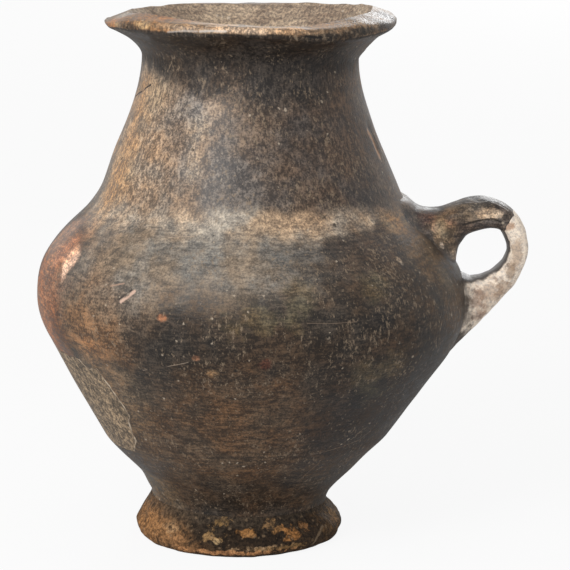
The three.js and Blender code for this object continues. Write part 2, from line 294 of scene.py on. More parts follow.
def mixed(tree, factor, under, over, mode="MIX"):
    """Two colours mixed by a factor."""
    inputs = {0: factor, 6: under, 7: over}
    return put(tree, "ShaderNodeMix", inputs, data_type="RGBA", blend_type=mode).outputs[2]


def faded(tree, value, low, high, to_low=0.0, to_high=1.0):
    """A value spread smoothly from to_low to to_high between low and high."""
    inputs = {0: value, 1: low, 2: high, 3: to_low, 4: to_high}
    return put(tree, "ShaderNodeMapRange", inputs, interpolation_type="SMOOTHSTEP").outputs[0]


def clouds(tree, place, scale, detail=3.0, roughness=0.55):
    """Noise about a half, its scale in grains to a metre."""
    inputs = {"Vector": place, "Scale": scale, "Detail": detail, "Roughness": roughness}
    return put(tree, "ShaderNodeTexNoise", inputs).outputs[0]


def swings(tree, place, scale, detail, roughness):
    """Noise about zero, for ragged edges."""
    return maths(tree, "SUBTRACT", clouds(tree, place, scale, detail, roughness), 0.5)


def blended(tree, factor, first, second):
    """Two values mixed by a factor."""
    inputs = {0: factor, 2: first, 3: second}
    return put(tree, "ShaderNodeMix", inputs, data_type="FLOAT").outputs[0]


def bumpy(tree, shader, relief, strength, distance):
    """Gives a shader a relief, its depth in metres."""
    bump = put(tree, "ShaderNodeBump", {"Height": relief, "Strength": strength, "Distance": distance})
    tree.links.new(bump.outputs[0], shader.inputs["Normal"])


def colour(red, green, blue):
    return (red, green, blue, 1)


def group(name, inputs, outputs):
    """An empty shader node group with its sockets, and its inner input and output nodes."""
    tree = bpy.data.node_groups.new(name, "ShaderNodeTree")
    kinds = {"value": "NodeSocketFloat", "vector": "NodeSocketVector", "colour": "NodeSocketColor"}
    for socket, kind in inputs.items():
        tree.interface.new_socket(socket, in_out="INPUT", socket_type=kinds[kind])
    for socket, kind in outputs.items():
        tree.interface.new_socket(socket, in_out="OUTPUT", socket_type=kinds[kind])
    return tree, tree.nodes.new("NodeGroupInput").outputs, tree.nodes.new("NodeGroupOutput")


def use(tree, name, inputs):
    """A node group placed in a tree, with its inputs set or linked."""
    return put(tree, "ShaderNodeGroup", inputs, node_tree=bpy.data.node_groups[name]).outputs


# A soft stain round a point, its edge made ragged by the unevenness that is passed in
tree, given, result = group(
    "stain",
    {"place": "vector", "centre": "vector", "size": "vector", "softness": "value", "uneven": "value"},
    {"mask": "value"},
)
away = vector_maths(tree, "SUBTRACT", given["place"], given["centre"])
reach = vector_maths(tree, "LENGTH", vector_maths(tree, "DIVIDE", away, given["size"]), out=1)
edge = maths(tree, "ADD", reach, given["uneven"])
outer_edge = maths(tree, "ADD", 1.0, given["softness"])
inner_edge = maths(tree, "SUBTRACT", 1.0, given["softness"])
tree.links.new(faded(tree, edge, inner_edge, outer_edge, 1.0, 0.0), result.inputs["mask"])

# A thin line between two points, such as a scratch or an open crack
tree, given, result = group(
    "scratch",
    {"place": "vector", "start": "vector", "end": "vector", "width": "value", "uneven": "value"},
    {"mask": "value"},
)
span = vector_maths(tree, "SUBTRACT", given["end"], given["start"])
away = vector_maths(tree, "SUBTRACT", given["place"], given["start"])
along = vector_maths(tree, "DOT_PRODUCT", away, span, out=1)
whole = vector_maths(tree, "DOT_PRODUCT", span, span, out=1)
share = maths(tree, "DIVIDE", along, whole, clamp=True)
foot_point = put(tree, "ShaderNodeVectorMath", {0: span, 3: share}, operation="SCALE").outputs[0]
reach = vector_maths(tree, "LENGTH", vector_maths(tree, "SUBTRACT", away, foot_point), out=1)
edge = maths(tree, "MULTIPLY_ADD", given["uneven"], given["width"], reach)
inner_edge = maths(tree, "MULTIPLY", given["width"], 0.35)
tree.links.new(faded(tree, edge, inner_edge, given["width"], 1.0, 0.0), result.inputs["mask"])

# Loose grains of temper or dust: uneven little spots, some of them picked out at random
tree, given, result = group(
    "grains",
    {"place": "vector", "scale": "value", "size": "value", "share": "value"},
    {"mask": "value"},
)
wander = put(tree, "ShaderNodeTexNoise", {"Vector": given["place"], "Scale": 900.0, "Detail": 2.0})
shift = vector_maths(tree, "SUBTRACT", wander.outputs[1], Vector((0.5, 0.5, 0.5)))
shift = put(tree, "ShaderNodeVectorMath", {0: shift, 3: 0.0022}, operation="SCALE").outputs[0]
uneven_place = vector_maths(tree, "ADD", given["place"], shift)
cells = put(tree, "ShaderNodeTexVoronoi", {"Vector": uneven_place, "Scale": given["scale"]}, feature="F1")
parts = put(tree, "ShaderNodeSeparateColor", {0: cells.outputs["Color"]}).outputs
picked = maths(tree, "LESS_THAN", parts[0], given["share"])
size = maths(tree, "MULTIPLY", given["size"], maths(tree, "MULTIPLY_ADD", parts[1], 0.9, 0.25))
small = maths(tree, "MULTIPLY", size, 0.4)
spot = faded(tree, cells.outputs["Distance"], small, size, 1.0, 0.0)
tree.links.new(maths(tree, "MULTIPLY", spot, picked), result.inputs["mask"])

# Strokes of the burnishing stone: noise drawn out along the wall or up and down it
tree, given, result = group(
    "strokes",
    {"place": "vector", "stretch": "vector", "scale": "value"},
    {"value": "value"},
)
drawn = vector_maths(tree, "MULTIPLY", given["place"], given["stretch"])
tree.links.new(clouds(tree, drawn, given["scale"], 4, 0.6), result.inputs["value"])


def new_material(name):
    """A material with its tree, its Principled shader and the Object coordinates."""
    material = bpy.data.materials.new(name)
    material.use_nodes = True
    tree = material.node_tree
    shader = tree.nodes["Principled BSDF"]
    shader.inputs["Specular IOR Level"].default_value = 0.5
    place = put(tree, "ShaderNodeTexCoord").outputs["Object"]
    return material, tree, shader, place


def patch(tree, place, ragged, centre, size, softness=0.6, raggedness=1.5):
    """The mask of a soft patch, its centre and size in millimetres."""
    inputs = {
        "place": place,
        "centre": Vector(centre) * MM,
        "size": Vector(size) * MM,
        "softness": softness,
        "uneven": maths(tree, "MULTIPLY", ragged, raggedness),
    }
    return use(tree, "stain", inputs)["mask"]


def lay_stains(tree, place, ragged, under, stains):
    """Stains, painted sheens and painted reflections over a colour, in order. Each is a centre
    and size in millimetres, a colour, a strength, a softness and a raggedness."""
    for centre, size, tint, strength, softness, raggedness in stains:
        mask = patch(tree, place, ragged, centre, size, softness, raggedness)
        under = mixed(tree, maths(tree, "MULTIPLY", mask, strength), under, colour(*tint))
    return under


def sprinkled(tree, place, under, tint, strength, scale, size, share):
    """Grains of a tint over a colour, and their mask. The scale is in cells to a metre, the
    size a share of a cell, and the share that of the cells with a grain."""
    grains = use(tree, "grains", {"place": place, "scale": scale, "size": size, "share": share})
    strength = maths(tree, "MULTIPLY", grains["mask"], strength)
    return mixed(tree, strength, under, colour(*tint)), grains["mask"]


def stroked(tree, place, stretch, scale):
    """The strokes of a stone or a wet hand, finest along the axis that is stretched most."""
    return use(tree, "strokes", {"place": place, "stretch": stretch, "scale": scale})["value"]


def lay_lines(tree, place, uneven, under, relief, lines):
    """Scratches, painted highlights and painted shade lines over a colour, and in a relief. Each
    is a row of points in millimetres, a width, a colour, a strength and how deep it is cut."""
    for points, width, tint, strength, depth in lines:
        whole = 0.0
        for start, end in zip(points, points[1:]):
            inputs = {
                "place": place,
                "start": Vector(start) * MM,
                "end": Vector(end) * MM,
                "width": width * MM,
                "uneven": uneven,
            }
            whole = maths(tree, "MAXIMUM", whole, use(tree, "scratch", inputs)["mask"])
        under = mixed(tree, maths(tree, "MULTIPLY", whole, strength), under, colour(*tint))
        relief = maths(tree, "MULTIPLY_ADD", whole, -depth, relief)
    return under, relief


def mottled(tree, base, pattern, low, high, dark, pale):
    """A colour broken up by a pattern, times dark where it is low and pale where high."""
    darker = mixed(tree, 1.0, base, colour(dark, dark, dark * 1.03), "MULTIPLY")
    paler = mixed(tree, 1.0, base, colour(pale, pale * 0.97, pale * 0.91), "MULTIPLY")
    return mixed(tree, faded(tree, pattern, low, high), darker, paler)


def seen(u, v, wide, high, tint, strength=0.8, softness=0.6, raggedness=1.5):
    """A stain where a pixel of the photograph shows it, with its size in millimetres."""
    return (on_wall(u, v), (wide, wide, high), tint, strength, softness, raggedness)


def drawn(pixels, width, tint, strength=0.8, depth=0.3):
    """A line through pixels of the photograph, with its width in millimetres."""
    return ([on_wall(u, v) for u, v in pixels], width, tint, strength, depth)


CRUST = (0.40, 0.27, 0.16)
PIT = (0.012, 0.009, 0.007)
DUST = (0.66, 0.57, 0.46)

FOOT_STAINS = (
    seen(152, 516, 20, 15, (0.31, 0.155, 0.063), 0.85, 0.6, 2.4),
    seen(176, 528, 17, 13, (0.275, 0.142, 0.062), 0.75, 0.6, 3.0),
    seen(187, 544, 14, 5, (0.30, 0.155, 0.07), 0.7, 0.5, 3.0),
    seen(173, 527, 5, 3, (0.45, 0.29, 0.16), 0.5, 0.5, 5.0),
    seen(182, 500, 17, 12, (0.085, 0.058, 0.036), 0.8, 0.6, 3.0),
    seen(205, 526, 12, 14, (0.026, 0.019, 0.013), 0.88, 0.5, 3.0),
    seen(250, 530, 34, 16, (0.018, 0.012, 0.008), 0.95, 0.5, 2.6),
    seen(312, 521, 18, 14, (0.026, 0.017, 0.011), 0.95, 0.5, 2.6),
    seen(338, 528, 14, 8, (0.024, 0.017, 0.011), 0.88, 0.5, 3.0),
    seen(327, 518, 9, 11, (0.10, 0.058, 0.027), 0.7, 0.5, 7.0),
    seen(333, 513, 4.5, 6, (0.22, 0.13, 0.06), 0.8, 0.5, 8.0),
    seen(337, 524, 5, 3, (0.19, 0.105, 0.045), 0.7, 0.5, 8.0),
    seen(224, 521, 3.6, 1.8, (0.26, 0.155, 0.06), 0.8, 0.4, 9.0),
    seen(213.5, 536, 4, 3, (0.27, 0.165, 0.075), 0.85, 0.4, 9.0),
    seen(216, 541, 2, 1.6, (0.34, 0.24, 0.13), 0.8, 0.4, 9.0),
    seen(246, 531.5, 3.4, 1.1, (0.27, 0.13, 0.045), 0.75, 0.4, 9.0),
    seen(251, 535, 2, 0.9, (0.27, 0.14, 0.055), 0.7, 0.4, 9.0),
    seen(270, 525.5, 3.6, 2.2, (0.30, 0.175, 0.08), 0.85, 0.4, 8.0),
    seen(279, 529, 3.4, 1.6, (0.27, 0.14, 0.055), 0.8, 0.4, 9.0),
    seen(292, 534, 4.4, 3.2, (0.31, 0.145, 0.05), 0.85, 0.4, 8.0),
    seen(304, 528, 2.2, 1.8, (0.24, 0.12, 0.05), 0.7, 0.4, 9.0),
    seen(268, 506, 34, 3.5, (0.10, 0.07, 0.042), 0.55, 0.6, 5.5),
    seen(262, 549, 13, 1.2, (0.36, 0.24, 0.14), 0.75, 0.4, 8.0),
    seen(282, 548, 14, 1.2, (0.22, 0.13, 0.055), 0.7, 0.4, 8.0),
    seen(228, 554, 26, 1.2, (0.40, 0.20, 0.09), 0.8, 0.4, 6.0),
)
FOOT_LINES = (drawn(((322, 527), (318, 536), (313, 545)), 1.3, (0.30, 0.21, 0.13), 0.6, -0.5),)

foot_clay, tree, shader, place = new_material("foot_clay")
tone = clouds(tree, place, 60, 7, 0.68)
ragged = swings(tree, place, 190, 7, 0.7)
tone = faded(tree, tone, 0.4, 0.68)
foot_colour = mixed(tree, tone, colour(0.028, 0.019, 0.012), colour(0.105, 0.062, 0.031))
foot_colour = lay_stains(tree, place, ragged, foot_colour, FOOT_STAINS)
height = put(tree, "ShaderNodeSeparateXYZ", {0: place}).outputs[2]
near_wall = faded(tree, maths(tree, "MULTIPLY_ADD", ragged, 0.03, height), 0.0125, 0.0215, 0.0, 0.75)
foot_colour = mixed(tree, near_wall, foot_colour, colour(0.052, 0.039, 0.028))
crumbs = clouds(tree, place, 520, 7, 0.76)
foot_colour = mottled(tree, foot_colour, crumbs, 0.36, 0.66, 0.42, 2.1)
foot_colour, _ = sprinkled(tree, place, foot_colour, CRUST, 0.32, 420.0, 0.55, 0.2)
foot_colour, pits = sprinkled(tree, place, foot_colour, PIT, 0.6, 260.0, 0.5, 0.25)
relief = maths(tree, "MULTIPLY_ADD", clouds(tree, place, 200, 8, 0.66), 2.5, crumbs)
relief = maths(tree, "SUBTRACT", relief, pits)
uneven = swings(tree, place, 700, 3, 0.6)
foot_colour, relief = lay_lines(tree, place, uneven, foot_colour, relief, FOOT_LINES)
tree.links.new(foot_colour, shader.inputs["Base Color"])
shader.inputs["Roughness"].default_value = 0.72
shader.inputs["Specular IOR Level"].default_value = 0.14
bumpy(tree, shader, relief, 0.6, 0.0012)

inside_clay, tree, shader, place = new_material("inside_clay")
swept = stroked(tree, place, Vector((1, 1, 7)), 75.0)
tone = maths(tree, "MULTIPLY", swept, 0.5)
tone = maths(tree, "MULTIPLY_ADD", clouds(tree, place, 40, 6, 0.65), 0.6, tone)
tone = faded(tree, tone, 0.42, 0.68)
inside_tint = mixed(tree, tone, colour(0.2, 0.145, 0.105), colour(0.40, 0.31, 0.225))
inside_tint = mottled(tree, inside_tint, clouds(tree, place, 620, 5, 0.68), 0.38, 0.68, 0.6, 1.8)
inside_tint, _ = sprinkled(tree, place, inside_tint, DUST, 0.5, 300.0, 0.5, 0.12)
tree.links.new(inside_tint, shader.inputs["Base Color"])
shader.inputs["Roughness"].default_value = 0.72
relief = maths(tree, "ADD", clouds(tree, place, 420, 6, 0.6), swept)
bumpy(tree, shader, relief, 0.4, 0.0008)

disc_profile = [(0, 0)]
disc_profile += [(radius, 0) for radius in rows(2, DISC_RADIUS, 2)]
disc_profile += [(DISC_RADIUS, height) for height in rows(2, FLOOR, 2)]
floor_start = len(disc_profile)
disc_profile += [(radius, FLOOR) for radius in rows(DISC_RADIUS - 2, 0, 2)]
bm = shaped(turned(disc_profile, [floor_start]), potters_hand)
base_disc = finished("base_disc_clay", bm, [foot_clay, inside_clay])
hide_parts("base_disc")


# Foot ring
# A thick coil luted round the disc and pinched outwards, so the foot is splayed. It was
# never burnished: its surface is rough, chipped at the edge and crusted with earth.
FOOT_JOINT = 22
SOLE_RADIUS = 55
FOOT_LUMPS = ((17, 1.5), (6, 0.55))


def foot_hand(place):
    """The foot's own lumps, on top of the potter's hand, fading out at the wall."""
    moved = potters_hand(place)
    radius = math.hypot(place[0], place[1])
    free = ease(radius, 49, 54) * (1 - ease(place[2], 15, 22))
    lumps = Vector((0, 0, 0))
    for wave_length, depth in FOOT_LUMPS:
        lumps += noise.noise_vector(Vector(place) / wave_length) * depth
    lumps.z *= ease(place[2], 0, 6)
    return moved + lumps * free


foot_profile = [(radius, 0) for radius in rows(DISC_RADIUS, SOLE_RADIUS, ROW)]
foot_profile += curve((SOLE_RADIUS, 0), (58.8, 0), (BEAD[0], 3.5), BEAD, 12)[1:]
foot_profile += [(radius_at(height), height) for height in rows(BEAD[1], FOOT_JOINT, ROW)[1:]]
foot_profile += [(48.2, 17.5), (DISC_RADIUS, FLOOR), (DISC_RADIUS, 6.5)]
bm = shaped(turned(foot_profile), foot_hand)
foot_ring = finished("foot_ring_clay", bm, [foot_clay])
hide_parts("foot_ring")


# Wall coils
# Ropes of clay laid one on the other, drawn together with oblique joints and burnished
# until no seam shows. Firing in a smoky kiln left the wall dark brown to tan in clouds.
BAND_FROM = 115
BAND_TO = 163
RIM_JOINT = THROAT[1] - 10
LOWER_JOINTS = rows(FOOT_JOINT, BAND_FROM, 31)
NECK_JOINTS = rows(BEND[1], RIM_JOINT, 24.2)

TAN = (0.268, 0.192, 0.136)
OCHRE = (0.36, 0.225, 0.12)
CREAM = (0.44, 0.34, 0.25)
LILAC = (0.172, 0.137, 0.114)
CHARCOAL = (0.060, 0.044, 0.036)
# Soot, and under the lip also painted shade
SOOT_AND_SHADE = (0.026, 0.019, 0.015)
BELLY_BLACK = (0.038, 0.028, 0.021)
NECK_BROWN = (0.14, 0.11, 0.088)
UMBER = (0.095, 0.056, 0.032)
OLIVE = (0.13, 0.10, 0.055)
RUST = (0.288, 0.126, 0.065)
ORANGE = (0.26, 0.12, 0.05)
SALMON = (0.95, 0.56, 0.37)
FLECK = (0.27, 0.20, 0.135)
SPECK = (0.5, 0.41, 0.31)
WALL_PIT = (0.015, 0.012, 0.01)

WALL_STAINS_AND_SHEEN = (
    seen(140, 150, 40, 52, TAN, 0.95),
    seen(117, 180, 16, 40, OCHRE, 0.6),
    seen(150, 95, 18, 12, OCHRE, 0.5),
    seen(215, 130, 27, 46, LILAC, 0.85),
    seen(200, 128, 6, 8, CREAM, 0.5, 0.5, 3.0),
    seen(196, 165, 5, 12, CREAM, 0.5, 0.5, 3.0),
    seen(215, 112, 9, 6, (0.36, 0.31, 0.27), 0.3, 0.6, 3.0),
    seen(255, 175, 30, 30, LILAC, 0.4),
    seen(335, 150, 52, 70, CHARCOAL, 0.9),
    seen(160, 227, 62, 8, (0.50, 0.385, 0.285), 0.8, 0.6, 2.6),
    seen(250, 229, 60, 7, (0.49, 0.38, 0.28), 0.85, 0.6, 2.6),
    seen(340, 222, 46, 5, TAN, 0.5, 0.6, 2.4),
    seen(396, 221, 17, 6, OCHRE, 0.5, 0.5, 2.4),
    seen(110, 262, 36, 34, (0.19, 0.143, 0.108), 0.85),
    seen(122, 258, 15, 16, (0.115, 0.10, 0.084), 0.6, 0.6, 3.0),
    seen(150, 262, 30, 22, (0.19, 0.16, 0.13), 0.7),
    # A painted sheen: the shoulder made lighter grey where the key light is reflected
    seen(236, 262, 38, 20, (0.19, 0.165, 0.14), 0.85),
    seen(44, 285, 25, 55, RUST, 0.9),
    seen(62, 238, 15, 12, (0.42, 0.25, 0.17), 0.5),
    seen(69, 263, 7, 11, SALMON, 0.95, 0.5, 3.4),
    seen(66, 250, 8, 8, (0.45, 0.22, 0.14), 0.5, 0.5, 3.4),
    seen(92, 330, 26, 26, (0.15, 0.088, 0.05), 0.8),
    seen(92, 352, 13, 8, ORANGE, 0.55),
    seen(112, 378, 10, 8, ORANGE, 0.5),
    seen(118, 400, 22, 34, (0.15, 0.108, 0.07), 0.7),
    seen(230, 345, 50, 22, (0.028, 0.02, 0.015), 0.5),
    seen(250, 430, 60, 34, UMBER, 0.85),
    seen(375, 405, 46, 46, (0.020, 0.015, 0.013), 0.9),
    seen(190, 470, 34, 18, UMBER, 0.5),
    seen(160, 488, 18, 12, (0.13, 0.092, 0.055), 0.7, 0.6, 3.0),
    seen(156, 497, 8, 8, (0.2, 0.12, 0.06), 0.5, 0.6, 4.0),
    seen(195, 79, 24, 7, SOOT_AND_SHADE, 0.8, 0.5, 3.0),
    seen(285, 88, 32, 10, SOOT_AND_SHADE, 0.75, 0.5, 3.0),
    seen(297, 305, 7, 11, OLIVE, 0.45, 0.6, 6.0),
    seen(255, 320, 12, 7, OLIVE, 0.45, 0.6, 6.0),
    seen(375, 283, 9, 6, OLIVE, 0.4, 0.6, 6.0),
    seen(375, 375, 13, 12, OLIVE, 0.3, 0.6, 6.0),
    seen(422, 250, 17, 22, (0.12, 0.082, 0.052), 0.75, 0.6, 4.0),
    seen(437, 268, 9, 16, (0.10, 0.07, 0.045), 0.7, 0.6, 4.0),
    seen(211, 372, 3, 2, OCHRE, 0.4, 0.5, 6.0),
    seen(164, 317, 2.5, 1.8, RUST, 0.7, 0.4, 6.0),
    seen(196, 358, 1.6, 1.2, RUST, 0.7, 0.4, 6.0),
    seen(267, 365, 3.5, 3.5, (0.06, 0.022, 0.015), 0.8, 0.4, 5.0),
    seen(372, 222, 3, 2.4, CREAM, 0.8, 0.4, 6.0),
    seen(399, 261, 1.8, 2, CREAM, 0.7, 0.4, 6.0),
)

WALL_LINES = (
    drawn(((135.5, 97), (143, 90.5), (151, 85)), 0.8, (0.02, 0.015, 0.012), 0.95, 1.8),
    drawn(((369, 131), (375, 142), (380, 155)), 3.2, (0.42, 0.235, 0.13), 0.95, 0.6),
    drawn(((372, 131), (378.5, 144), (385, 160)), 0.9, (0.02, 0.015, 0.012), 0.9, 0.6),
    drawn(((121.5, 301), (128, 296), (134.5, 291)), 1.4, (0.62, 0.42, 0.32), 0.95, 1.5),
    drawn(((119.5, 299), (126, 293.5), (132, 289.5)), 0.7, (0.03, 0.02, 0.016), 0.8, 1.0),
    drawn(((112, 285.5), (124, 283)), 0.7, (0.42, 0.27, 0.19), 0.7, 0.5),
    drawn(((143, 370), (172, 365), (188, 362)), 0.4, CREAM, 0.5, 0.6),
    drawn(((310, 455), (336, 449), (358, 440), (370, 431)), 0.45, TAN, 0.45, 0.6),
    drawn(((301, 480), (320, 463)), 0.4, TAN, 0.4, 0.6),
    drawn(((307, 323), (332, 323.5), (356, 322)), 0.4, TAN, 0.4, 0.6),
    drawn(((168, 237.5), (194, 236)), 0.5, CREAM, 0.7, 0.3),
    drawn(((411.5, 210), (421.5, 221)), 2.0, (0.14, 0.065, 0.045), 0.8, 0.6),
    drawn(((424.5, 224), (433, 236.4), (442, 247), (450.5, 254)), 1.6, (0.42, 0.30, 0.21), 0.8, -0.5),
)


def dent(u, v, wide, high, depth):
    """A hollow where a pixel of the photograph shows it, or a swelling if its depth is
    negative, its size in millimetres."""
    centre = on_wall(u, v)
    inwards = Vector((-centre.x, -centre.y, 0)).normalized()

    def pressed(place):
        away = place - centre
        reach = (away.x**2 + away.y**2) / wide**2 + away.z**2 / high**2
        return inwards * depth * math.exp(-reach)

    return pressed


# Pixel, width, height and depth in millimetres
DENTS = (
    (370, 127, 4, 4, 1.1),
    (377, 146, 3, 8, 0.9),
    (128, 296, 2.5, 2.5, 0.9),
    (142, 90, 4, 2, 0.8),
    (120, 425, 50, 24, -1.0),
)
marks.extend([dent(*row) for row in DENTS])


# Where the shoulder was burnished smoothest, where the belly is most flecked, and where a
# painted sheen lightens the soot and painted shade under the lip, with their sizes
SMOOTHEST = (on_wall(200, 256), (72, 72, 26))
MOST_FLECKED = (on_wall(400, 270), (58, 58, 50))
LIP_SHEEN = ((66, -28, 286), (15, 20, 7))
# How the burnishing strokes are drawn out up and down the neck, and along the belly
UPWARDS = Vector((5, 5, 1))
ALONG = Vector((1, 1, 5))
MIDDLE_TONE = 0.78


def burnished(name, ground, stains, lines, sooty_and_shaded):
    """The burnished skin on a ground colour, or where that is None on the wall's own two,
    worn and mottled, with its own stains and lines, some of them painted sheens, highlights
    and shade, and with soot and painted shade under the lip or not."""
    material, tree, shader, place = new_material(name)
    ragged = swings(tree, place, 75, 6, 0.68)
    uneven = swings(tree, place, 700, 3, 0.6)
    height = put(tree, "ShaderNodeSeparateXYZ", {0: place}).outputs[2]
    on_neck = faded(tree, maths(tree, "MULTIPLY_ADD", ragged, 0.02, height), 0.19, 0.205)
    skin = mixed(tree, on_neck, colour(*BELLY_BLACK), colour(*NECK_BROWN))
    if ground:
        skin = colour(*ground)
    patches = clouds(tree, place, 24, 5, 0.62)
    skin = mixed(tree, faded(tree, patches, 0.48, 0.7, 0.0, 0.5), skin, colour(*UMBER))
    skin = lay_stains(tree, place, ragged, skin, stains)
    # Soot under the lip, made darker as painted shade where the lip overhangs
    if sooty_and_shaded:
        lip_soot_and_shade = faded(tree, maths(tree, "MULTIPLY_ADD", ragged, 0.035, height), 0.2675, 0.276)
        # A painted sheen: less soot and shade on the neck under the lip at the front right
        lip_sheen = patch(tree, place, ragged, *LIP_SHEEN)
        lip_soot_and_shade = maths(tree, "MULTIPLY", lip_soot_and_shade, faded(tree, lip_sheen, 0.0, 1.0, 0.93, 0.3))
        skin = mixed(tree, lip_soot_and_shade, skin, colour(*SOOT_AND_SHADE))
    hue = clouds(tree, vector_maths(tree, "ADD", place, Vector((1, 1, 1))), 42, 4, 0.6)
    warmth = mixed(tree, faded(tree, hue, 0.36, 0.64), colour(1.1, 1.0, 0.88), colour(0.9, 1.0, 1.1))
    skin = mixed(tree, 1.0, skin, warmth, "MULTIPLY")
    level = stroked(tree, place, ALONG, 120.0)
    upright = stroked(tree, place, UPWARDS, 120.0)
    streak = blended(tree, on_neck, level, upright)
    pattern = maths(tree, "MULTIPLY", clouds(tree, place, 900, 4, 0.7), 0.5)
    pattern = maths(tree, "MULTIPLY_ADD", streak, 0.36, pattern)
    pattern = maths(tree, "MULTIPLY_ADD", clouds(tree, place, 300, 5, 0.68), 0.34, pattern)
    pattern = maths(tree, "MULTIPLY_ADD", clouds(tree, place, 85, 6, 0.68), 0.26, pattern)
    pattern = maths(tree, "MULTIPLY_ADD", patches, 0.1, pattern)
    calm = maths(tree, "MULTIPLY", patch(tree, place, ragged, *SMOOTHEST), 0.4)
    skin = mottled(tree, skin, blended(tree, calm, pattern, MIDDLE_TONE), 0.7, 0.93, 0.48, 2.45)
    crowd = faded(tree, clouds(tree, place, 55, 4, 0.6), 0.35, 0.65, -0.04, 0.04)
    lively = patch(tree, place, ragged, *MOST_FLECKED)
    crowd = maths(tree, "MULTIPLY_ADD", lively, 0.024, crowd)
    upward = vector_maths(tree, "MULTIPLY", place, Vector((1, 1, 0.5)))
    flecks = maths(tree, "ADD", clouds(tree, upward, 560, 5, 0.74), crowd)
    skin = mixed(tree, faded(tree, flecks, 0.57, 0.66, 0.0, 0.7), skin, colour(*FLECK))
    skin, _ = sprinkled(tree, place, skin, SPECK, 0.7, 260.0, 0.26, 0.15)
    skin, pits = sprinkled(tree, place, skin, WALL_PIT, 0.8, 170.0, 0.24, 0.12)
    relief = maths(tree, "MULTIPLY_ADD", streak, 0.7, clouds(tree, place, 480, 6, 0.62))
    relief = maths(tree, "SUBTRACT", relief, pits)
    skin, relief = lay_lines(tree, place, uneven, skin, relief, lines)
    tree.links.new(skin, shader.inputs["Base Color"])
    tree.links.new(faded(tree, pattern, 0.66, 0.92, 0.36, 0.6), shader.inputs["Roughness"])
    shader.inputs["Specular IOR Level"].default_value = 0.25
    bumpy(tree, shader, relief, 0.4, 0.0007)
    return material


burnished_clay = burnished("burnished_clay", None, WALL_STAINS_AND_SHEEN, WALL_LINES, True)


def wall_coil(name, node, low, high, root=()):
    """One coil of the wall between two joints, its root, if any, first."""
    outside = [(radius_at(height), height) for height in rows(low, high, ROW)]
    inside = [inside_at(height + SCARF_RISE) for height in rows(high, low, INSIDE_ROW)]
    profile = list(root) + outside + inside
    bm = shaped(turned(profile, [len(root) + len(outside)]), potters_hand)
    piece = finished(name, bm, [burnished_clay, inside_clay])
    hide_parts(node)
    return piece


first_root = [(DISC_RADIUS - 5.5, FLOOR), (DISC_RADIUS, FLOOR)]
lower_coils = []
for number, (low, high) in enumerate(zip(LOWER_JOINTS, LOWER_JOINTS[1:]), 1):
    root = first_root if number == 1 else ()
    coil = wall_coil(f"lower_coil_{number}_clay", f"lower_wall_coil_{number}", low, high, root)
    lower_coils.append(coil)
wall_coil("belly_band_clay", "belly_band", BAND_FROM, BAND_TO)
wall_coil("shoulder_coil_clay", "shoulder_coil", BAND_TO, BEND[1])
for number, (low, high) in enumerate(zip(NECK_JOINTS, NECK_JOINTS[1:]), 1):
    wall_coil(f"neck_coil_{number}_clay", f"neck_coil_{number}", low, high)


# Refitted sherd
# A fragment of the lower wall that fell out and was glued back, a little greyer than the
# rest. A raised cream line of glue and filler marks its edge on the side towards the front.
SHERD_AZIMUTH = math.radians(200)
SHERD_HEIGHT = 87
SHERD_HALF_WIDTH = 48
SHERD_HALF_HEIGHT = 27.5
SHERD_OUTLINE = (
    (-0.76, 0.69),
    (-0.17, 0.95),
    (0.3, 0.98),
    (0.52, 1),
    (0.61, 0.82),
    (0.79, 0.9),
    (0.86, 0.65),
    (0.92, 0.39),
    (0.97, 0.18),
    (1, -0.02),
    (0.95, -0.17),
    (0.92, -0.48),
    (0.93, -0.62),
    (0.76, -0.95),
    (0.17, -1),
    (-0.52, -0.87),
    (-0.97, -0.51),
    (-1, 0.1),
)
SEAM_CORNERS = (3, 13)
EDGE_STEPS = 8
CHIP_SPACING = 2.3
CHIP_DEPTH = 0.5
GLUE_GAP = 0.1
WEDGE_FROM = 0.6
WEDGE_TO = 1.4
BEAD_RADIUS = 0.45
BEAD_LEAST = 0.12
BEAD_FLATNESS = 0.7
BEAD_POINTS = 8


def wall_point(azimuth, height):
    radius = radius_at(height)
    return Vector((radius * math.cos(azimuth), radius * math.sin(azimuth), height))


sherd_edge = []
for start, end in zip(SHERD_OUTLINE, SHERD_OUTLINE[1:] + SHERD_OUTLINE[:1]):
    for i in range(EDGE_STEPS):
        share = i / EDGE_STEPS
        along = (start[0] + (end[0] - start[0]) * share) * SHERD_HALF_WIDTH
        up = (start[1] + (end[1] - start[1]) * share) * SHERD_HALF_HEIGHT
        chip = noise.noise_vector(Vector((along, up, 0)) / CHIP_SPACING) * CHIP_DEPTH
        azimuth = SHERD_AZIMUTH + (along + chip.x) / radius_at(SHERD_HEIGHT)
        sherd_edge.append((azimuth, SHERD_HEIGHT + up + chip.y))


def lofted(bm, rings):
    """Rings of points in millimetres, bridged one to the next and closed at both ends.
    Returns the new faces."""
    first_face = len(bm.faces)
    loops = []
    for points in rings:
        ring = bmesh.ops.create_circle(bm, segments=len(points), radius=1)["verts"]
        for vert, point in zip(ring, points):
            vert.co = point * MM
        bm.edges.ensure_lookup_table()
        loops.append(bm.edges[-len(points) :])
    for before, after in zip(loops, loops[1:]):
        bmesh.ops.bridge_loops(bm, edges=before + after)
    for end in (loops[0], loops[-1]):
        bmesh.ops.edgeloop_fill(bm, edges=end)
    bm.faces.ensure_lookup_table()
    return bm.faces[first_face:]


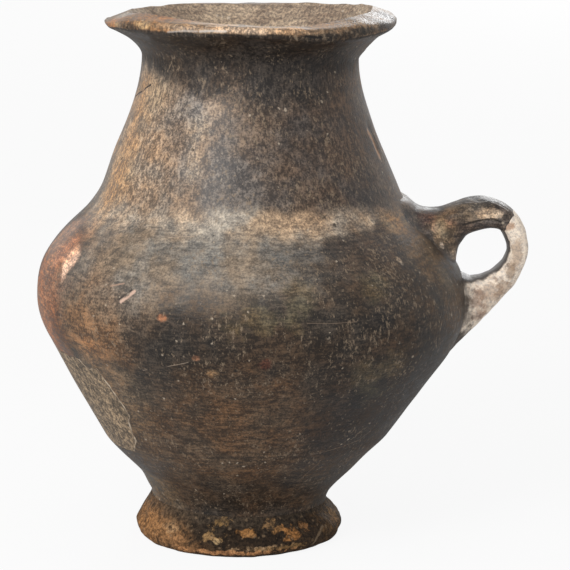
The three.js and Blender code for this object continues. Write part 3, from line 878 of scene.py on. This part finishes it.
def sherd_wedge(margin):
    """A wedge from inside the wall out past it, with the sherd's outline and a margin round it."""
    rings = []
    for stretch in (WEDGE_FROM, WEDGE_TO):
        ring = []
        for azimuth, height in sherd_edge:
            away = Vector((azimuth - SHERD_AZIMUTH, height - SHERD_HEIGHT))
            azimuth += margin * math.copysign(1, away.x) / radius_at(SHERD_HEIGHT)
            height += margin * math.copysign(1, away.y)
            true = wall_point(azimuth, height)
            moved = potters_hand(true)
            plain = Vector((true.x + axis_offset(height), true.y, height - tilt_drop(true.x, height)))
            far = Vector((true.x * stretch, true.y * stretch, height))
            far = Vector((far.x + axis_offset(height), far.y, height - tilt_drop(far.x, height)))
            ring.append(far + moved - plain)
        rings.append(ring)
    bm = bmesh.new()
    lofted(bm, rings)
    bmesh.ops.triangulate(bm, faces=bm.faces)
    bmesh.ops.recalc_face_normals(bm, faces=bm.faces)
    mesh = bpy.data.meshes.new("wedge")
    bm.to_mesh(mesh)
    bm.free()
    wedge = bpy.data.objects.new("wedge", mesh)
    bpy.context.collection.objects.link(wedge)
    return wedge


def cut(piece, wedge, operation):
    """The piece's mesh cut by the wedge, its creases marked again."""
    modifier = piece.modifiers.new("cut", "BOOLEAN")
    modifier.object = wedge
    modifier.operation = operation
    modifier.solver = "EXACT"
    bpy.context.view_layer.update()
    whole = bpy.data.meshes.new_from_object(piece.evaluated_get(bpy.context.evaluated_depsgraph_get()))
    piece.modifiers.clear()
    bm = bmesh.new()
    bm.from_mesh(whole)
    bpy.data.meshes.remove(whole)
    mark_creases(bm)
    bm.to_mesh(piece.data)
    bm.free()


hole = sherd_wedge(GLUE_GAP)
for coil in lower_coils[1:]:
    cut(coil, hole, "DIFFERENCE")
bpy.data.objects.remove(hole)

sherd_clay, tree, shader, place = new_material("sherd_clay")
ragged = swings(tree, place, 75, 6, 0.68)
drag = stroked(tree, place, UPWARDS, 150.0)
pattern = maths(tree, "MULTIPLY", clouds(tree, place, 300, 5, 0.62), 0.45)
pattern = maths(tree, "MULTIPLY_ADD", clouds(tree, place, 950, 4, 0.62), 0.45, pattern)
pattern = maths(tree, "MULTIPLY_ADD", drag, 0.3, pattern)
tone = faded(tree, ragged, -0.12, 0.15)
grey = mixed(tree, tone, colour(0.14, 0.104, 0.069), colour(0.225, 0.165, 0.108))
grey = mottled(tree, grey, pattern, 0.53, 0.73, 0.48, 2.5)
tree.links.new(grey, shader.inputs["Base Color"])
shader.inputs["Roughness"].default_value = 0.58
shader.inputs["Specular IOR Level"].default_value = 0.3
bumpy(tree, shader, pattern, 0.4, 0.0008)

filler, tree, shader, place = new_material("filler")
tone = clouds(tree, place, 260, 5, 0.6)
cream = mixed(tree, faded(tree, tone, 0.4, 0.62), colour(0.24, 0.18, 0.125), colour(0.52, 0.42, 0.315))
tree.links.new(cream, shader.inputs["Base Color"])
shader.inputs["Roughness"].default_value = 0.6

SHERD_FROM = math.radians(160.5)
SHERD_TURN = math.radians(75)
outside = [(radius_at(height), height) for height in rows(57.5, 116, ROW)]
inside = [inside_at(height) for height in rows(118, 55, INSIDE_ROW)]
bm = shaped(turned(outside + inside, (), SHERD_FROM, SHERD_TURN), potters_hand)
sherd = finished("sherd_clay_piece", bm, [sherd_clay, filler])
tool = sherd_wedge(0)
cut(sherd, tool, "INTERSECT")
bpy.data.objects.remove(tool)

first, last = (corner * EDGE_STEPS for corner in SEAM_CORNERS)
bead = []
for azimuth, height in sherd_edge[first : last + 1]:
    centre = potters_hand(wall_point(azimuth, height))
    outward = Vector((math.cos(azimuth), math.sin(azimuth), -0.6)).normalized()
    sideways = outward.cross(Vector((0, 0, 1))).normalized()
    upward = sideways.cross(outward)
    thick = max(BEAD_RADIUS + noise.noise(centre / 4) * 0.5, BEAD_LEAST)
    ring = []
    for k in range(BEAD_POINTS):
        turn = FULL_TURN * k / BEAD_POINTS
        point = sideways * math.cos(turn) + outward * BEAD_FLATNESS * math.sin(turn)
        ring.append(centre + point * thick)
    bead.append(ring)
bm = bmesh.new()
bm.from_mesh(sherd.data)
for face in lofted(bm, bead):
    face.material_index = 1
    face.smooth = True
bm.to_mesh(sherd.data)
bm.free()
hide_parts("refitted_sherd")


# Rim
# The last coil, turned out over the throat with wet fingers. Its edge is round, waves a
# little up and down and is worn to the brown clay.
LIP_REACH = 81.4
LIP_RADIUS = 3.2
LIP_BREADTH = 13
FLARE_ANGLE = 24

lip_centre = (LIP_REACH - LIP_RADIUS, CREST - LIP_RADIUS)


def on_lip(degrees):
    turn = math.radians(degrees)
    return (lip_centre[0] + LIP_RADIUS * math.cos(turn), lip_centre[1] + LIP_RADIUS * math.sin(turn))


flare_end = on_lip(FLARE_ANGLE - 90)
flare_way = (math.cos(math.radians(FLARE_ANGLE)) * 8, math.sin(math.radians(FLARE_ANGLE)) * 8)
throat_inside = (THROAT[0] - WALL, THROAT[1])

rim_profile = [(radius_at(height), height) for height in rows(RIM_JOINT, THROAT[1], ROW)]
flare_arriving = (flare_end[0] - flare_way[0], flare_end[1] - flare_way[1])
rim_profile += curve(THROAT, (THROAT[0], THROAT[1] + 7), flare_arriving, flare_end, 22)[1:]
LIP_FROM = -22
rim_profile += [on_lip(degrees) for degrees in rows(FLARE_ANGLE - 90, LIP_FROM, 12)[1:]]
lip_start = len(rim_profile) - 1
rim_profile += [on_lip(degrees) for degrees in rows(LIP_FROM, 90, 12)[1:]]
lip_inside = LIP_REACH - LIP_BREADTH
rim_profile += [(radius, CREST) for radius in rows(lip_centre[0], lip_inside, ROW)[1:]]
mouth_start = len(rim_profile) - 1
inside_leaving = (lip_inside - 4, CREST - 4)
inside_arriving = (throat_inside[0], THROAT[1] + 11.7)
rim_profile += curve((lip_inside, CREST), inside_leaving, inside_arriving, throat_inside, 30)[1:]
rim_profile += [inside_at(RIM_JOINT + SCARF_RISE)]


def rim_hand(place):
    """The lip waves up and down and has small flats and nicks. At its left and right its top
    falls outwards, and between those and the front its edge hangs lower."""
    moved = potters_hand(place)
    radius = math.hypot(place[0], place[1])
    free = ease(place[2], 284, 296)
    turn = math.atan2(place[1], place[0])
    wave = 1.2 * math.sin(2 * turn - 0.56) - 0.5 * math.sin(turn)
    wave += 0.6 * math.sin(3 * turn + 2.1) + 0.35 * math.sin(7 * turn) - 0.7 * math.sin(turn) ** 2
    moved.z += wave * free
    on_top = ease(place[2], CREST - (6 if radius < 70 else 2), CREST)
    inwards = min(max((80 - radius) / 12, 0), 1)
    drop = 1.2 if math.cos(turn) < 0 else 0.2
    moved.z += on_top * math.cos(turn) ** 2 * (4.6 * inwards - drop)
    moved.x += 0.7 * max(math.cos(turn), 0) ** 3 * ease(radius, 62, 74)
    under = ease(place[2], 276, 282) - ease(place[2], 285, 292)
    moved.x += 2 * max(math.cos(turn), 0) ** 2 * under
    moved.z += 1.4 * free * math.exp(-(((turn - 2.4) / 0.45) ** 2))
    raised = 1.2 if math.cos(turn) < 0 else 0.8
    moved.z += raised * free * abs(math.cos(turn)) ** 3 * (1 - ease(place[2], 296, 299.5))
    hanging = ease(radius, 66, 78) * (1 - ease(place[2], 296, 299.5))
    moved.z -= 2.2 * hanging * math.sin(2 * turn) ** 2
    moved += noise.noise_vector(Vector(place) / 9) * 0.45 * free
    return moved


def on_piece(piece, u, v):
    """The point of a piece that a pixel of the photograph shows, in millimetres."""
    hit, place, _, _ = piece.ray_cast(camera.location, sight_line(u, v))
    if not hit:
        raise ValueError(f"pixel {u},{v} misses {piece.name}")
    return place / MM


def spots_on(piece, spots):
    """Stains from spots that are given by pixel."""
    return [(on_piece(piece, u, v), (wide, wide, high), *rest) for u, v, wide, high, *rest in spots]


def lines_on(piece, lines):
    """Lines whose points are given by pixel."""
    return [([on_piece(piece, u, v) for u, v in pixels], *rest) for pixels, *rest in lines]


# Pixel, width and height in millimetres, colour, strength, softness and raggedness
LIP_SPOTS = (
    (150, 23, 30, 6, (0.24, 0.115, 0.048), 0.85, 0.5, 2.6),
    (112, 22, 12, 8, (0.26, 0.12, 0.05), 0.8, 0.5, 2.6),
    (118, 24.5, 4, 1.6, (0.48, 0.31, 0.16), 0.7, 0.4, 6.0),
    (130, 27, 9, 2, (0.055, 0.034, 0.02), 0.85, 0.4, 3.0),
    (143, 25, 7, 1.4, (0.44, 0.27, 0.13), 0.7, 0.4, 6.0),
    (163, 25, 12, 1.6, (0.10, 0.062, 0.036), 0.6, 0.4, 5.0),
    (195, 27, 24, 2.6, (0.27, 0.17, 0.10), 0.8, 0.5, 4.0),
    (225, 29, 16, 2.6, (0.42, 0.29, 0.19), 0.8, 0.5, 4.0),
    (262, 30, 32, 3.0, (0.47, 0.34, 0.24), 0.85, 0.5, 3.0),
    (300, 29.5, 22, 2.6, (0.36, 0.24, 0.15), 0.82, 0.5, 4.0),
    (325, 28, 11, 2.4, (0.12, 0.08, 0.05), 0.8, 0.5, 4.0),
    (352, 25, 14, 2.6, (0.205, 0.117, 0.06), 0.8, 0.5, 4.0),
    (372, 20, 12, 3, (0.10, 0.07, 0.05), 0.6, 0.5, 4.0),
    (124, 31.5, 9, 1.4, (0.04, 0.026, 0.018), 0.85, 0.4, 2.6),
    (150, 33, 16, 1.5, (0.03, 0.021, 0.015), 0.9, 0.4, 2.6),
    (180, 35.5, 18, 1.6, (0.034, 0.026, 0.02), 0.92, 0.4, 2.2),
    (212, 36.5, 18, 1.7, (0.034, 0.026, 0.02), 0.92, 0.4, 2.2),
    (242, 37, 18, 1.7, (0.036, 0.027, 0.021), 0.92, 0.4, 2.2),
    (274, 38, 18, 1.8, (0.038, 0.029, 0.022), 0.92, 0.4, 2.2),
    (304, 39.5, 18, 2.2, (0.03, 0.022, 0.017), 0.92, 0.4, 2.2),
    (332, 38, 16, 2.4, (0.026, 0.02, 0.016), 0.92, 0.4, 2.2),
    (360, 32, 14, 2.0, (0.03, 0.022, 0.016), 0.9, 0.4, 2.6),
    (386, 25, 9, 3, (0.03, 0.026, 0.025), 0.9, 0.4, 2.6),
    # Painted reflections: the grey of the lip's top at its left and right ends
    (128, 13, 12, 3, (0.34, 0.32, 0.30), 0.8, 0.5, 2.6),
    (384, 16, 10, 3, (0.10, 0.10, 0.11), 0.8, 0.5, 2.6),
)
# Pixels, width in millimetres, colour, strength and depth
LIP_LINES = (
    # Painted highlights along the lower roll of the lip
    (((168, 32), (184, 31), (197, 31.5)), 0.8, (0.50, 0.46, 0.43), 0.45, -0.3),
    (((200, 31.5), (213, 31), (226, 31.5)), 0.9, (0.62, 0.57, 0.52), 0.6, -0.3),
    (((243, 27), (254, 27.5), (266, 28)), 0.5, (0.05, 0.035, 0.025), 0.8, 1.0),
    # A painted highlight along the lip's crest
    (((206, 26), (222, 26.5)), 0.5, (0.6, 0.52, 0.44), 0.6, 0.2),
    (((306, 36.5), (315, 37.5), (322, 37.5)), 1.0, (0.010, 0.008, 0.007), 0.95, 2.0),
    (((376, 12), (384, 13.5), (392, 17)), 0.8, (0.07, 0.07, 0.075), 0.7, 0.6),
)
near_rim = tuple(stain for stain in WALL_STAINS_AND_SHEEN if stain[0][2] + 1.6 * stain[1][2] > RIM_JOINT)
rim_clay = burnished("rim_clay", None, near_rim, (), True)
bm = shaped(turned(rim_profile, [lip_start, mouth_start]), rim_hand)
rim_lip = finished("rim_lip_clay", bm, [])
bpy.context.view_layer.update()
lip_stains_and_reflections = spots_on(rim_lip, LIP_SPOTS)
lip_lines = lines_on(rim_lip, LIP_LINES)
lip_clay = burnished("lip_clay", (0.17, 0.115, 0.075), lip_stains_and_reflections, lip_lines, False)
for material in (rim_clay, lip_clay, inside_clay):
    rim_lip.data.materials.append(material)
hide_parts("rim_lip")


# Handle
# One strap from the shoulder to the belly. It broke across its top: the upper piece is
# still black with smoke and luted on the shoulder, the lower one burnt pale, almost cream.
# The rows give the outer and inner edge of the strap in the plane of the handle and its
# width, from inside the shoulder to inside the belly.
STRAP = (
    (90.5, 198.0, 119.0, 157.5, 66),
    (96.5, 196.0, 123.5, 160.0, 57),
    (101.5, 192.8, 124.9, 163.2, 45),
    (107.1, 190.8, 125.9, 167.0, 36),
    (114.0, 190.2, 127.9, 171.0, 30),
    (121.0, 192.2, 130.4, 174.6, 26.5),
    (128.5, 195.0, 134.4, 176.3, 24.5),
    (135.5, 195.9, 139.5, 177.8, 24),
    (142.5, 196.1, 144.8, 178.6, 23),
    (149.0, 194.3, 148.4, 178.0, 23),
    (155.8, 190.2, 150.4, 175.9, 23),
    (160.6, 184.6, 152.1, 172.5, 23),
    (163.7, 177.1, 153.2, 169.3, 23),
    (165.0, 167.8, 153.3, 165.2, 23),
    (164.3, 160.9, 151.6, 161.2, 23),
    (161.6, 153.4, 149.2, 157.8, 23),
    (157.2, 145.2, 146.2, 154.7, 22.5),
    (151.4, 137.9, 142.6, 152.8, 23),
    (143.7, 130.6, 138.0, 151.2, 24.5),
    (137.4, 124.8, 132.9, 150.6, 27),
    (132.4, 119.2, 129, 152.0, 32),
    (127.6, 113.3, 126.0, 153.0, 38),
    (121.6, 106.5, 121.5, 153, 40),
)
BREAK = 10
BREAK_SKEW = 0.22
SKEW_REACH = 1.6
SQUARENESS = 0.72
STRAP_LUMPS = ((16, 1.1), (5, 0.3))
ROOT_DEPTH = 1.5
RING_POINTS = 56
RINGS_PER_ROW = 7


def strap_at(place):
    """The edges and the width of the strap at a place counted in rows."""
    i = min(int(place), len(STRAP) - 2)
    t = place - i
    near = [STRAP[min(max(k, 0), len(STRAP) - 1)] for k in (i - 1, i, i + 1, i + 2)]
    bend = (1, t, t * t, t * t * t)
    values = []
    for a, b, c, d in zip(*near):
        terms = (2 * b, c - a, 2 * a - 5 * b + 4 * c - d, 3 * b - a - 3 * c + d)
        values.append(sum(x * y for x, y in zip(bend, terms)) / 2)
    return values


def melted(point, share):
    """A point of a root drawn back to a little below the wall by a share of the way."""
    x = point.x - axis_offset(point.z)
    radius = math.hypot(x, point.y)
    proud = radius - radius_at(point.z + tilt_drop(x, point.z)) + ROOT_DEPTH
    if proud <= 0 or share <= 0:
        return point
    kept = (radius - proud * share) / radius
    return Vector((x * kept + axis_offset(point.z), point.y * kept, point.z))


def strap_ring(place):
    """The points of the strap's section at a place counted in rows, slanted at the break.
    Near the roots its sides melt into the wall."""
    skew = BREAK_SKEW * max(1 - abs(place - BREAK) / SKEW_REACH, 0)
    root = max(1 - ease(place, 0, 5), ease(place, len(STRAP) - 4, len(STRAP) - 1))
    ring = []
    for k in range(RING_POINTS):
        turn = FULL_TURN * k / RING_POINTS
        out = math.copysign(abs(math.cos(turn)) ** SQUARENESS, math.cos(turn))
        side = math.copysign(abs(math.sin(turn)) ** SQUARENESS, math.sin(turn))
        outer_x, outer_z, inner_x, inner_z, width = strap_at(place + skew * out)
        centre = Vector(((outer_x + inner_x) / 2, 0, (outer_z + inner_z) / 2))
        half = Vector(((outer_x - inner_x) / 2, 0, (outer_z - inner_z) / 2))
        point = centre + half * out + Vector((0, side * width / 2, 0))
        lumps = [noise.noise_vector(point / spacing) * depth for spacing, depth in STRAP_LUMPS]
        point += lumps[0] + lumps[1]
        ring.append(melted(point, root * abs(side) ** 1.6))
    return ring


def strap_piece(name, start, end):
    """The strap between two places counted in rows, closed at both ends. The end at the
    break is rough."""
    count = round((end - start) * RINGS_PER_ROW)
    rings = []
    for i in range(count + 1):
        place = start + (end - start) * i / count
        ring = strap_ring(place)
        if abs(place - BREAK) < 1e-6:
            nearby = strap_ring(BREAK + 0.2)
            ring = [p + (q - p) * (noise.noise(p / 2.5) * 0.6 + 0.2) for p, q in zip(ring, nearby)]
        rings.append(ring)
    bm = bmesh.new()
    lofted(bm, rings)
    bmesh.ops.recalc_face_normals(bm, faces=bm.faces)
    for face in bm.faces:
        face.smooth = True
    return finished(name, bm, [])


HOLE_MIDDLE = (137, 0, 165)


def facing_hole(tree, place):
    """How far the surface faces the middle of the handle's hole, 1 where it does fully."""
    inwards = vector_maths(tree, "SUBTRACT", Vector(HOLE_MIDDLE) * MM, place)
    inwards = vector_maths(tree, "MULTIPLY", inwards, Vector((1, 0, 1)))
    inwards = vector_maths(tree, "NORMALIZE", inwards)
    normal = put(tree, "ShaderNodeTexCoord").outputs["Normal"]
    return vector_maths(tree, "DOT_PRODUCT", normal, inwards, out=1)


# Pixel, width and height in millimetres, colour, strength, softness and raggedness
UPPER_SPOTS = (
    (440, 208, 26, 5, (0.030, 0.025, 0.023), 0.85, 0.5, 2.4),
    (480, 203, 22, 3.5, (0.028, 0.023, 0.021), 0.85, 0.5, 2.4),
    (466, 213, 12, 6, (0.155, 0.128, 0.103), 0.75, 0.6, 3.0),
    (446, 222, 7, 5, (0.22, 0.11, 0.065), 0.6, 0.6, 4.0),
    (426, 219, 6, 5, (0.11, 0.05, 0.036), 0.5, 0.6, 5.0),
    (452, 216, 8, 4, (0.10, 0.076, 0.055), 0.6, 0.6, 3.0),
    (496, 214.5, 8, 2.2, (0.52, 0.38, 0.27), 0.8, 0.4, 8.0),
    (486, 213, 5, 2, (0.45, 0.33, 0.23), 0.6, 0.4, 8.0),
    (476, 228, 15, 4, (0.105, 0.078, 0.066), 0.75, 0.5, 3.0),
    (444, 233, 8, 7, (0.17, 0.125, 0.08), 0.7, 0.6, 5.0),
    (451, 247, 6, 5, (0.20, 0.14, 0.095), 0.7, 0.6, 5.0),
    (454, 253, 3, 3, (0.48, 0.36, 0.26), 0.8, 0.4, 6.0),
    (434, 229, 1.6, 2.4, (0.46, 0.30, 0.2), 0.8, 0.4, 7.0),
    (437, 239, 3, 3, (0.34, 0.22, 0.13), 0.7, 0.5, 8.0),
    (442, 245, 1.4, 2.2, (0.6, 0.45, 0.33), 0.85, 0.4, 6.0),
    (444, 231, 3.4, 4, (0.30, 0.23, 0.15), 0.5, 0.5, 9.0),
    (508, 217, 4, 3, (0.04, 0.03, 0.024), 0.8, 0.4, 3.0),
)
# Painted shade: a dark line for a crease in the strap's front face, which its shape lacks
CREASE_SHADE = (0.02, 0.015, 0.012)
# Pixels, width in millimetres, colour, strength and depth
UPPER_LINES = (
    (((463, 225), (472, 222.5), (484, 219.5), (494, 219), (501, 222)), 0.8, CREASE_SHADE, 0.85, 1.0),
    # Painted highlights along the strap's top edge
    (((492, 202.5), (501, 206), (508, 210.5)), 0.7, (0.50, 0.46, 0.43), 0.55, -0.5),
    (((455, 205), (470, 202.5), (486, 201.5)), 0.6, (0.30, 0.27, 0.25), 0.6, -0.5),
)
handle_upper = strap_piece("handle_upper_clay", 0, BREAK)
bpy.context.view_layer.update()
upper_stains = spots_on(handle_upper, UPPER_SPOTS)
upper_lines = lines_on(handle_upper, UPPER_LINES)
handle_clay = burnished("handle_clay", (0.084, 0.068, 0.06), upper_stains, upper_lines, False)
handle_upper.data.materials.append(handle_clay)
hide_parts("handle_upper")

LOWER_SPOTS = (
    (517, 256, 3, 9, (0.36, 0.235, 0.15), 0.6, 0.5, 7.0),
    (511, 275, 3, 5, (0.30, 0.2, 0.13), 0.7, 0.5, 7.0),
    (505, 286, 4, 4, (0.33, 0.22, 0.15), 0.6, 0.5, 7.0),
    (487, 293, 5, 7, (0.36, 0.235, 0.16), 0.55, 0.6, 8.0),
    (477, 303, 4, 9, (0.36, 0.21, 0.14), 0.6, 0.6, 7.0),
    (507, 227, 3, 2.5, (0.38, 0.2, 0.11), 0.7, 0.5, 5.0),
    (508, 218.5, 2, 3, (0.82, 0.76, 0.7), 0.7, 0.5, 3.0),
)
handle_lower = strap_piece("handle_lower_clay", BREAK, len(STRAP) - 1)
bpy.context.view_layer.update()
lower_stains = spots_on(handle_lower, LOWER_SPOTS)
lower_stains += [
    ((123, -12, 138), (9.2, 60, 30), (0.062, 0.045, 0.034), 0.92, 0.4, 2.6),
    ((126, -12, 110), (24, 60, 12), (0.055, 0.04, 0.03), 0.92, 0.4, 2.2),
]
pale_clay, tree, shader, place = new_material("pale_clay")
ragged = swings(tree, place, 110, 6, 0.68)
pale = lay_stains(tree, place, ragged, colour(0.90, 0.79, 0.68), lower_stains)
crumbs = clouds(tree, place, 420, 7, 0.76)
pale = mottled(tree, pale, crumbs, 0.34, 0.6, 0.66, 1.18)
dirt = clouds(tree, place, 300, 7, 0.74)
pale = mixed(tree, faded(tree, dirt, 0.56, 0.68, 0.0, 0.5), pale, colour(0.32, 0.20, 0.13))
soot = maths(tree, "MULTIPLY_ADD", ragged, 0.5, facing_hole(tree, place))
soot = faded(tree, soot, 0.78, 0.92, 0.0, 0.93)
pale = mixed(tree, soot, pale, colour(0.032, 0.026, 0.025))
tree.links.new(pale, shader.inputs["Base Color"])
tree.links.new(faded(tree, soot, 0.0, 1.0, 0.62, 0.42), shader.inputs["Roughness"])
bumpy(tree, shader, crumbs, 0.4, 0.0008)
handle_lower.data.materials.append(pale_clay)
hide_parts("handle_lower")


# Room
# A plain white floor and backdrop in soft studio light, brightest from the upper left,
# with a light behind at the right that catches the edges.
floor_mesh = bpy.data.meshes.new("floor")
bm = bmesh.new()
bmesh.ops.create_grid(bm, x_segments=1, y_segments=1, size=6)
bm.to_mesh(floor_mesh)
bm.free()
floor = bpy.data.objects.new("floor", floor_mesh)
bpy.context.collection.objects.link(floor)

floor_paint = bpy.data.materials.new("floor_paint")
floor_paint.use_nodes = True
tree = floor_paint.node_tree
tree.nodes.clear()
matte = put(tree, "ShaderNodeBsdfDiffuse", {"Color": (0.75, 0.75, 0.75, 1)})
glow = put(tree, "ShaderNodeEmission", {"Color": (1, 1, 1, 1), "Strength": 1.0})
sight = put(tree, "ShaderNodeLightPath")
seen_plain = maths(tree, "MULTIPLY", sight.outputs["Is Camera Ray"], 0.9)
mix = put(tree, "ShaderNodeMixShader", {0: seen_plain, 1: matte.outputs[0], 2: glow.outputs[0]})
put(tree, "ShaderNodeOutputMaterial", {0: mix.outputs[0]})
floor_mesh.materials.append(floor_paint)

world = bpy.data.worlds.new("studio")
bpy.context.scene.world = world
world.use_nodes = True
tree = world.node_tree
sight = put(tree, "ShaderNodeLightPath")
shown = maths(tree, "MAXIMUM", sight.outputs["Is Camera Ray"], sight.outputs["Is Glossy Ray"])
shown = maths(tree, "MAXIMUM", shown, sight.outputs["Is Transmission Ray"])
strength = blended(tree, shown, 0.5, 1.0)
background = tree.nodes["Background"]
background.inputs["Color"].default_value = (1, 1, 1, 1)
tree.links.new(strength, background.inputs["Strength"])


def lamp(name, place, size, power):
    """A square soft box at a place in metres, turned to the middle of the urn."""
    light = bpy.data.lights.new(name, "AREA")
    light.size = size
    light.energy = power
    holder = bpy.data.objects.new(name, light)
    holder.location = place
    holder.rotation_euler = (Vector((0.02, 0, 0.15)) - Vector(place)).to_track_quat("-Z", "Y").to_euler()
    bpy.context.collection.objects.link(holder)


lamp("key", (-0.68, -1.12, 1.05), 0.7, 16)
lamp("right edge", (1.2, 4.4, 1.9), 1.4, 55)
